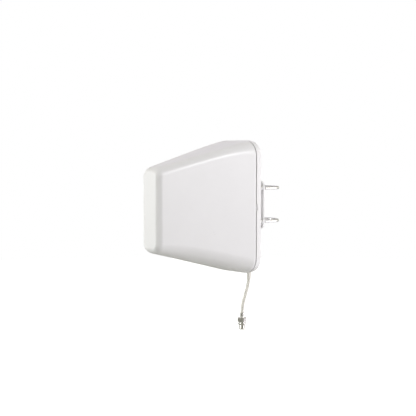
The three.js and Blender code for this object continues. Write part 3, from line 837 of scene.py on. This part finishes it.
def screw(name, head, head_depth, countersunk, shank, pitch, arm):
    """A screw along Y with its head to the rear: rings of a low dome with a cross recess, a pan or
    countersunk head, a threaded shank whose groove climbs one pitch a turn, and a blunt tip."""
    place = Place(name)
    at, top, tip = place.at, place.back, place.front
    sides = 48
    angle = np.linspace(0, 2 * np.pi, sides, endpoint=False)[None]
    ring = np.linspace(0, head * 0.93, 24)[:, None]
    dome = 0.0 if countersunk else PAN_DOME
    height = top - dome * (ring / head) ** 2 - cross_recess(ring, angle, arm)
    under = top - head_depth
    shoulder = top - dome
    if countersunk:
        side = [[head * 0.97, top], [head, top - 0.12 * MM], [shank, under]]
    else:
        side = [[head * 0.98, shoulder], [head, shoulder - 0.3 * MM], [head, under], [shank, under]]
    along = np.arange(under - 0.3 * MM, tip + 1.2 * MM, -pitch / 7)
    fade = ease(under - along, 0.4 * MM, 1.2 * MM) * (0.4 + 0.6 * ease(along - tip, 0.5 * MM, 3 * MM))
    groove = thread(along, pitch, GROOVE_SHARE * shank, -1, sides, fade)
    rows = np.concatenate([
        around(ring, height, at, "y", sides),
        turned(side, at, "y", sides),
        around(shank - groove, along[:, None], at, "y", sides),
        turned([[shank * 0.8, tip + 0.8 * MM], [shank * 0.45, tip], [0, tip]], at, "y", sides),
    ])
    Surface().grid(rows).piece(f"{name}_looks", ZINC, name)


def all_screws():
    """The lid's pan-head screws and the bracket's countersunk ones."""
    for name in [*LID_SCREWS, "mount_screw"]:
        screw(name, 2.75 * MM, 1.5 * MM, False, 0.97 * (1.45 * MM), 1.1 * MM, 1.6 * MM)
    for name in BRACKET_SCREWS:
        screw(name, 3.8 * MM, 1.8 * MM, True, 0.97 * (2 * MM), 0.8 * MM, 2.2 * MM)


# ---------------------------------------------------------------- mast bracket

LEG_HOLE = 2.9 * MM
COUNTERSINK = 4.4 * MM
STANDOFF_WINDOW = (19 * MM, 50 * MM)


def mast_plate():
    """The flat plate that the mast rests on: rounded edges, four round holes for the U-bolts' legs and
    four countersunk ones for the screws."""
    sheet = Place("mast_plate")
    front, back = sheet.front, sheet.back
    holes = [
        straight_hole(Place(f"{level}_{side}_nut").at, LEG_HOLE, front, back, 0.25 * MM)
        for level in LEVELS for side in SIDES
    ]
    cone = [
        [2.8 * MM, front], [BRACKET_SCREW_HOLE, front],
        [BRACKET_SCREW_HOLE, back - (COUNTERSINK - BRACKET_SCREW_HOLE)], [COUNTERSINK, back],
        [COUNTERSINK + 0.5 * MM, back],
    ]
    holes += [(Place(name).at, cone) for name in BRACKET_SCREWS]
    surface = plate(Surface(), sheet.size, 8 * MM, front, back, 0.4 * MM, holes=holes)
    surface.piece("bracket_plate", POWDER_COAT, "mast_plate", flats=True)


def bracket_standoff():
    """The extruded block between the lid and the plate, with its window and four screw holes."""
    block = Place("bracket_standoff")
    front, back = block.front, block.back
    holes = [
        straight_hole(Place(name).at, BRACKET_SCREW_HOLE, front, back, 0.2 * MM)
        for name in BRACKET_SCREWS
    ]
    window = (STANDOFF_WINDOW, 2 * MM, (0, 0))
    surface = Surface()
    plate(surface, block.size, 5 * MM, front, back, 0.3 * MM, holes=holes, windows=[window])
    surface.piece("standoff", ALUMINIUM_LENGTHWISE, "bracket_standoff", flats=True)


# ---------------------------------------------------------------- U-bolts and their hardware

ROD = 2.5 * MM
THREAD_PITCH = 0.8 * MM
THREAD_LENGTH = 21 * MM
THREAD_DEPTH = 0.4 * MM
NUT_FLATS = 8 * MM
NUT_BORE = 2.85 * MM
NUT_MOUTH = 0.35 * MM
NUT_GROOVE = 0.2 * MM
SPRING_RADIUS = 3.6 * MM
SPRING_GAP = 0.9 * MM
SPRING_LIFT = 0.12 * MM


def ubolt(level):
    """A round rod up one leg, round half a circle and down the other leg. Its radius falls by the
    thread's groove near both tips and by a chamfer at the very ends."""
    bolt = Place(f"{level}_ubolt")
    leg_x = bolt.right - ROD
    tip = bolt.front
    leg = -tip
    arc = np.pi * leg_x
    threaded = np.arange(0, THREAD_LENGTH, THREAD_PITCH / 8)
    half = np.concatenate([threaded, np.linspace(THREAD_LENGTH, leg, 12)])
    run = np.concatenate([half, leg + np.linspace(0, arc, 97)[1:-1], (2 * leg + arc - half)[::-1]])
    angle = np.clip(run - leg, 0, arc) / leg_x
    path = np.stack([
        leg_x * np.cos(angle),
        np.where(run < leg, tip + run, np.where(run > leg + arc, leg + arc - run, leg_x * np.sin(angle))),
        np.full_like(run, bolt.z),
    ], 1)
    from_tip = np.minimum(run, 2 * leg + arc - run)
    fade = 1 - ease(from_tip, THREAD_LENGTH - 2 * MM, THREAD_LENGTH)
    sides = 32
    groove = thread(run, THREAD_PITCH, THREAD_DEPTH, 1, sides, fade)
    chamfer = 0.7 * MM * (1 - np.clip(from_tip / (0.8 * MM), 0, 1))
    rows = swept(path, ROD - np.maximum(groove, chamfer[:, None]), (0, 0, 1), sides)
    Surface().rod(rows).piece(f"{level}_u", ZINC, f"{level}_ubolt", f"{level}_clamp")


def hex_nut(name, body):
    """A hexagonal nut with both ends chamfered and a threaded, countersunk bore."""
    nut = Place(name)
    at, low, high = nut.at, nut.front, nut.back
    sides = 96
    radius, along = hex_rows(NUT_FLATS, low, high, sides)
    down = np.linspace(low + 0.4 * MM, high - 0.4 * MM, 40)
    groove = thread(down, THREAD_PITCH, NUT_GROOVE, -1, sides)
    wide = NUT_BORE + NUT_MOUTH
    mouth_low = turned([[wide, low], [NUT_BORE, low + NUT_MOUTH]], at, "y", sides)
    rows = np.concatenate([
        mouth_low,
        around(NUT_BORE - NUT_GROOVE + groove, down[:, None], at, "y", sides),
        turned([[NUT_BORE, high - NUT_MOUTH], [wide, high]], at, "y", sides),
        around(radius, along, at, "y", sides),
        mouth_low[:1],
    ])
    Surface().grid(rows).piece(f"{name}_looks", ZINC, name, body)


def flat_washer(name):
    """A flat ring whose edges are rounded."""
    ring = Place(name)
    low, half, high = ring.front, ring.y, ring.back
    hole, rim = 2.8 * MM, 5 * MM
    section = softened([
        [hole, half], [hole, high], [rim, high], [rim, low], [hole, low], [hole, half],
    ], 0.2 * MM)
    Surface().grid(turned(section, ring.at, "y", 64)).piece(f"{name}_looks", ZINC, name)


def spring_washer(name):
    """A split ring: a rounded square section carried round most of a turn, one end a little higher."""
    ring = Place(name)
    gap = SPRING_GAP / SPRING_RADIUS
    turn = (np.linspace(gap / 2, 2 * np.pi - gap / 2, 73) + np.pi / 2)[:, None]
    lift = np.linspace(-SPRING_LIFT, SPRING_LIFT, 73)[:, None]
    wide, deep = 0.75, 0.48
    across, along = softened(in_mm([
        [0, deep], [-wide, deep], [-wide, -deep], [wide, -deep], [wide, deep], [0, deep],
    ]), 0.15 * MM, 2)[:-1].T
    radius = SPRING_RADIUS + across
    rows = np.stack([
        ring.x + radius * np.cos(turn), ring.y + along + lift, ring.z + radius * np.sin(turn),
    ], -1)
    Surface().rod(rows).piece(f"{name}_looks", ZINC, name)


def clamps():
    """Both U-bolts with their nuts and washers."""
    for level in LEVELS:
        ubolt(level)
        for side in SIDES:
            hex_nut(f"{level}_{side}_nut", f"{level}_{side}_nut_body")
            flat_washer(f"{level}_{side}_flat_washer")
            spring_washer(f"{level}_{side}_spring_washer")


# ---------------------------------------------------------------- strain relief

ELBOW_RADIUS = 11 * MM
ELBOW_Y = -33 * MM
BOOT_RADIUS = 4.4 * MM
BOOT_TAPER = 1.25 * MM
RIB_PITCH = 3.2 * MM
RIB_HEIGHT = 0.3 * MM


def boot_radius(run):
    """The boot's radius along its path: a taper, five rounded ribs on its lower part, a soft tip."""
    from_tip = run[-1] - run
    ribs = np.clip(np.cos(2 * np.pi * from_tip / RIB_PITCH), 0, 1) ** 0.6
    ribbed = (from_tip > 1.8 * MM) * (from_tip < 17 * MM)
    tip = 0.4 * MM * (1 - np.clip(from_tip / (0.5 * MM), 0, 1))
    return BOOT_RADIUS - BOOT_TAPER * ease(run / run[-1], 0.15, 1.0) + RIB_HEIGHT * ribs * ribbed - tip


def strain_relief():
    """A rubber boot: a round flange against the lid, then a tube that bends down through a quarter
    circle and tapers. Its mouth is hollow."""
    relief = Place("strain_relief")
    x = relief.x
    flange = relief.width / 2
    z = relief.top - flange
    lid_face = Place("rear_lid").back
    tip = np.array([x, CABLE_ROUTE[0][1], relief.bottom])
    turn = np.linspace(0, np.pi / 2, 20)
    quarter = np.stack([
        np.full_like(turn, x),
        ELBOW_Y - ELBOW_RADIUS + ELBOW_RADIUS * np.sin(turn),
        z - ELBOW_RADIUS * (1 - np.cos(turn)),
    ], 1)
    share = np.linspace(0, 1, 81)[1:, None]
    fall = quarter[-1] * (1 - share) + tip * share
    path = np.concatenate([[[x, lid_face + 1 * MM, z]], quarter, fall])
    step = np.linalg.norm(np.diff(path, axis=0), axis=1)
    run = np.concatenate([[0], np.cumsum(step)])
    tube = swept(path, boot_radius(run)[:, None], (1, 0, 0), 48)
    mouth_path = np.stack([tip, tip + [0, 0, 1.6 * MM]])
    mouth = swept(mouth_path, 2.6 * MM, (-1, 0, 0), 48)[:, ::-1]
    surface = Surface().grid(tube)
    surface.flat(tube[0])
    surface.grid(np.stack([tube[-1], mouth[0]]))
    surface.grid(mouth).flat(mouth[-1])
    face = lid_face + 0.3 * MM
    outer_face = face + 2 * MM
    back_wall = lid_face - LID_BACK_WALL
    spigot = 4.2 * MM
    collar = softened([
        [0, outer_face], [flange, outer_face], [flange, face], [spigot, face], [spigot, back_wall],
        [0, back_wall],
    ], 0.6 * MM)
    surface.grid(turned(collar, (x, z), "y", 64))
    surface.piece("relief", RELIEF_RUBBER, "strain_relief")


# ---------------------------------------------------------------- connector

HEX_HEIGHT = 7 * MM
HEX_FLATS = 13 * MM
NECK_HEIGHT = 1.5 * MM
BARREL = 4.75 * MM
BARREL_PITCH = 0.79 * MM
BARREL_GROOVE = 0.38 * MM
SOCKET = 3.1 * MM
SOCKET_DEPTH = 9 * MM
COLLAR = 6.2 * MM
FLUTES = 16


def connector_ferrule():
    """The crimped sleeve: a flared mouth round the cable, a hexagonal crimp in the middle and a round
    foot. The radius blends between a circle and a hexagon along the sleeve."""
    sleeve = Place("connector_ferrule")
    at = (sleeve.x, sleeve.y)
    sides = 96
    down = np.linspace(sleeve.top, sleeve.bottom, 60)[:, None]
    from_top = sleeve.top - down
    pressed = ease(from_top, 1.4 * MM, 2.0 * MM) * (1 - ease(from_top, 6.0 * MM, 6.6 * MM))
    circle = 3.0 * MM + 0.1 * MM * (1 - ease(from_top, 0, 0.9 * MM))
    crimp = hexagon(5.6 * MM, sides, 0.97)
    mouth = in_mm([[0, -1.5], [2.62, -1.5], [2.62, -0.1], [2.8, 0]], sleeve.top)
    rows = np.concatenate([
        turned(mouth, at, "z", sides),
        around(circle * (1 - pressed) + crimp * pressed, down, at, "z", sides),
        turned([[0, sleeve.bottom]], at, "z", sides),
    ])
    Surface().grid(rows).piece("ferrule", NICKEL, "connector_ferrule")


def connector_body():
    """A chamfered hexagon, a plain neck, a barrel with a fine thread, and a deep round mouth."""
    jack = Place("connector_body")
    at, top, end = (jack.x, jack.y), jack.top, jack.bottom
    sides = 96
    hex_bottom = top - HEX_HEIGHT
    collar_top = hex_bottom - NECK_HEIGHT
    radius, along = hex_rows(HEX_FLATS, hex_bottom, top, sides, slope=0.55)
    neck = softened([
        [5.6 * MM, hex_bottom], [4.4 * MM, hex_bottom], [4.4 * MM, collar_top], [4.7 * MM, collar_top],
    ], 0.25 * MM, 3)
    down = np.arange(collar_top - 0.2 * MM, end + 1.1 * MM, -BARREL_PITCH / 8)
    fade = ease(collar_top - down, 0.3 * MM, 1.0 * MM) * ease(down - end, 0.8 * MM, 1.6 * MM)
    groove = thread(down, BARREL_PITCH, BARREL_GROOVE, 1, sides, fade)
    floor_z = end + SOCKET_DEPTH
    rim = [
        [BARREL - 0.05 * MM, end + 0.9 * MM], [BARREL - 0.6 * MM, end], [SOCKET + 0.4 * MM, end],
        [SOCKET, end + 0.4 * MM], [SOCKET, floor_z], [0, floor_z],
    ]
    rows = np.concatenate([
        turned([[0, top]], at, "z", sides),
        around(radius, along, at, "z", sides),
        turned(neck, at, "z", sides),
        around(BARREL - groove, down[:, None], at, "z", sides),
        turned(rim, at, "z", sides),
    ])
    Surface().grid(rows).piece("jack", NICKEL, "connector_body")


def connector_collar():
    """A round nut whose rim is knurled: the radius falls in shallow, slanted flutes."""
    collar = Place("connector_collar")
    at, top, end = (collar.x, collar.y), collar.top, collar.bottom
    sides = 192
    angle = np.linspace(0, 2 * np.pi, sides, endpoint=False)[None]
    down = np.linspace(top - 0.5 * MM, end + 0.5 * MM, 20)[:, None]
    slant = (down - top) / (1.2 * MM)
    knurl = np.abs(np.sin(FLUTES * angle + slant)) + np.abs(np.sin(FLUTES * angle - slant))
    bottom = [*in_mm([[6.0, 0.3], [5.6, 0], [5.1, 0]], end), [5.1 * MM, top]]
    rows = np.concatenate([
        turned(in_mm([[5.1, 0], [5.6, 0], [6.0, -0.3]], top), at, "z", sides),
        around(COLLAR - 0.16 * MM * (knurl / 2), down, at, "z", sides),
        turned(bottom, at, "z", sides),
    ])
    Surface().grid(rows).piece("collar", NICKEL, "connector_collar")


def connector_inside():
    """The insulator, a stepped nylon sleeve, and the contact, a slotted brass tube seen end on."""
    sleeve = Place("connector_insulator")
    at, top, end = (sleeve.x, sleeve.y), sleeve.top, sleeve.bottom
    hole, outer, nose = 0.9 * MM, 2.8 * MM, 2.2 * MM
    step = end + 1 * MM
    section = softened([
        [hole, top], [outer, top], [outer, step], [nose, step], [nose, end], [hole, end], [hole, top],
    ], 0.15 * MM)
    rows = turned(np.concatenate([section, section[:1]]), at, "z")
    Surface().grid(rows).piece("insulator", NYLON, "connector_insulator")
    contact = Place("connector_contact")
    top, end = contact.top, contact.bottom
    outer, bore, bore_end = 0.6 * MM, 0.35 * MM, contact.bottom + 3 * MM
    section = softened([
        [0, top], [outer, top], [outer, end], [bore, end], [bore, bore_end], [0, bore_end],
    ], 0.1 * MM)
    Surface().grid(turned(section, at, "z", 32)).piece("contact", BRASS, "connector_contact")


# ---------------------------------------------------------------- the array inside

DIPOLE_RADIUS = 2 * MM
BOOM_WALL = 1 * MM
BOOM_CORNER = 1.3 * MM


def dipole(name):
    """A round rod along Z with chamfered ends."""
    rod = Place(name)
    top, end = rod.top, rod.bottom
    profile = softened([[0, top], [DIPOLE_RADIUS, top], [DIPOLE_RADIUS, end], [0, end]], 0.35 * MM)
    surface = Surface().grid(turned(profile, (rod.x, rod.y), "z", 24))
    surface.piece(f"{name}_looks", ALUMINIUM_UPRIGHT, name)


def boom(side):
    """A square tube along Y with rounded corners inside and out."""
    name = f"boom_{side}"
    tube = Place(name)
    front, back = tube.front, tube.back
    section = softened([
        [0, back], [0, front], [BOOM_WALL, front], [BOOM_WALL, back], [0, back],
    ], 0.15 * MM)
    section = np.concatenate([section, section[:1]])
    rows = rings(section, (tube.width, tube.width), BOOM_CORNER, tube.at, 4)
    Surface().grid(rows).piece(f"{name}_looks", ALUMINIUM_LENGTHWISE, name)


def inner_array():
    """New looks for the booms and dipoles, and materials on the CAD pieces that keep their own mesh."""
    for side in SIDES:
        boom(side)
        for number in range(1, 9):
            dipole(f"half_dipole_{side}_{number}")
    kept = {
        "boom_mount": ALUMINIUM_LENGTHWISE, "feed_coax": COAX_JACKET, "front_insulator": NYLON,
        "feed_strap": BRASS, "boom_spacer": NYLON,
    }
    for name, (material, _) in kept.items():
        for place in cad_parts[name].material_slots:
            place.material = material


# ---------------------------------------------------------------- stage and light

FLOOR_Z = -1.6
FLOOR_RADIUS = 9
STUDIO_AIM = Vector((0, -0.13, -0.02))
SOFTBOX_DISTANCE = 2.0
DARK_WALL = math.radians(32)
WHITE = (1, 1, 1, 1)

# Degrees round from the camera, degrees up, metres across, and watts of red, green and blue.
SOFTBOXES = {
    "small and high": (62, 27, 0.4, (10.0, 10.0, 10.2)),
    "right and high": (65, 20, 1.2, (7.9, 7.9, 8.2)),
    "right": (65, 5, 1.2, (6.0, 5.7, 6.5)),
    "right, behind and high": (105, 20, 1.2, (3.5, 3.2, 3.0)),
    "right, behind and low": (105, -25, 1.2, (11.0, 10.5, 11.7)),
    "left": (-75, 5, 1.2, (11.9, 13.2, 14.2)),
    "left and high": (-75, 20, 1.2, (17.8, 16.5, 15.4)),
    "behind and high": (180, 35, 1.2, (2.4, 2.1, 2.8)),
}

def floor():
    """A round level floor, wide, whose edge turns up a little. It is light grey where it lights the
    antenna, and white where the camera sees it."""
    finish = Finish("studio floor", Roughness=0.9, Metallic=0.0, Emission_Color=WHITE)
    finish.colour(finish.group(CLOUDS, Scale=0.6), (0.66, 0.66, 0.62), (0.72, 0.72, 0.68))
    seen = node(finish.tree, "ShaderNodeLightPath").outputs["Is Camera Ray"]
    finish.feed("Emission Strength", maths(finish.tree, "MULTIPLY", seen, 0.95))
    profile = softened([
        [0, FLOOR_Z], [FLOOR_RADIUS, FLOOR_Z], [FLOOR_RADIUS + 1, FLOOR_Z + 0.4],
    ], 0.5)
    thing = Surface().grid(turned(profile, (0, 0), "z", 96)).thing("floor", finish.material)
    thing.data.shade_smooth()


def softbox(name, round_by, rise, side, power):
    """A square area light that faces the antenna from a direction told from the camera's."""
    toward = seen_from(CAMERA_TURN + math.radians(round_by), math.radians(rise))
    data = bpy.data.lights.new(name, "AREA")
    data.size = side
    data.energy = max(power)
    data.color = [part / max(power) for part in power]
    lamp = bpy.data.objects.new(name, data)
    lamp.location = STUDIO_AIM + SOFTBOX_DISTANCE * toward
    lamp.rotation_euler = toward.to_track_quat("Z", "Y").to_euler()
    bpy.context.collection.objects.link(lamp)


def sky():
    """White to the camera and a dim warm grey as light. Reflections see pale walls low down, but for
    one dark wall to the right of the camera."""
    world = bpy.data.worlds.new("studio")
    bpy.context.scene.world = world
    world.use_nodes = True
    tree = world.node_tree
    tree.nodes.clear()
    path = node(tree, "ShaderNodeLightPath")
    direction = node(tree, "ShaderNodeTexCoord").outputs["Generated"]
    toward = node(tree, "ShaderNodeVectorMath", operation="DOT_PRODUCT", Vector=direction)
    toward.inputs[1].default_value = seen_from(CAMERA_TURN + DARK_WALL, 0)
    wall = node(
        tree, "ShaderNodeMapRange", From_Min=0.87, From_Max=0.96, To_Min=1.9, To_Max=-0.9,
        Value=toward.outputs["Value"],
    )
    height = node(tree, "ShaderNodeSeparateXYZ", Vector=direction).outputs["Z"]
    low = node(
        tree, "ShaderNodeMapRange", From_Min=0.0, From_Max=0.3, To_Min=1.0, To_Max=0.0, Value=height,
    )
    room = maths(tree, "MULTIPLY", wall.outputs["Result"], low.outputs["Result"])
    extra = maths(tree, "MULTIPLY", room, path.outputs["Is Glossy Ray"])
    strength = maths(tree, "ADD", extra, 1.0)
    light = node(tree, "ShaderNodeBackground", Color=(0.366, 0.366, 0.336, 1), Strength=strength)
    seen = node(tree, "ShaderNodeBackground", Color=WHITE, Strength=1.0)
    mix = tree.nodes.new("ShaderNodeMixShader")
    for number, source in enumerate((path.outputs["Is Camera Ray"], light.outputs[0], seen.outputs[0])):
        tree.links.new(source, mix.inputs[number])
    node(tree, "ShaderNodeOutputWorld", Surface=mix.outputs[0])


def studio():
    """The world and the softboxes."""
    sky()
    for name, values in SOFTBOXES.items():
        softbox(name, *values)
    bpy.context.scene.view_settings.view_transform = "Standard"

# ---------------------------------------------------------------- the whole

add_camera()
cable, cable_path, cable_length = pigtail()
connector_ferrule()
connector_body()
connector_collar()
connector_inside()
radome_shell()
rear_lid()
lid_gasket()
all_screws()
mast_plate()
bracket_standoff()
clamps()
strain_relief()
inner_array()
floor()
studio()
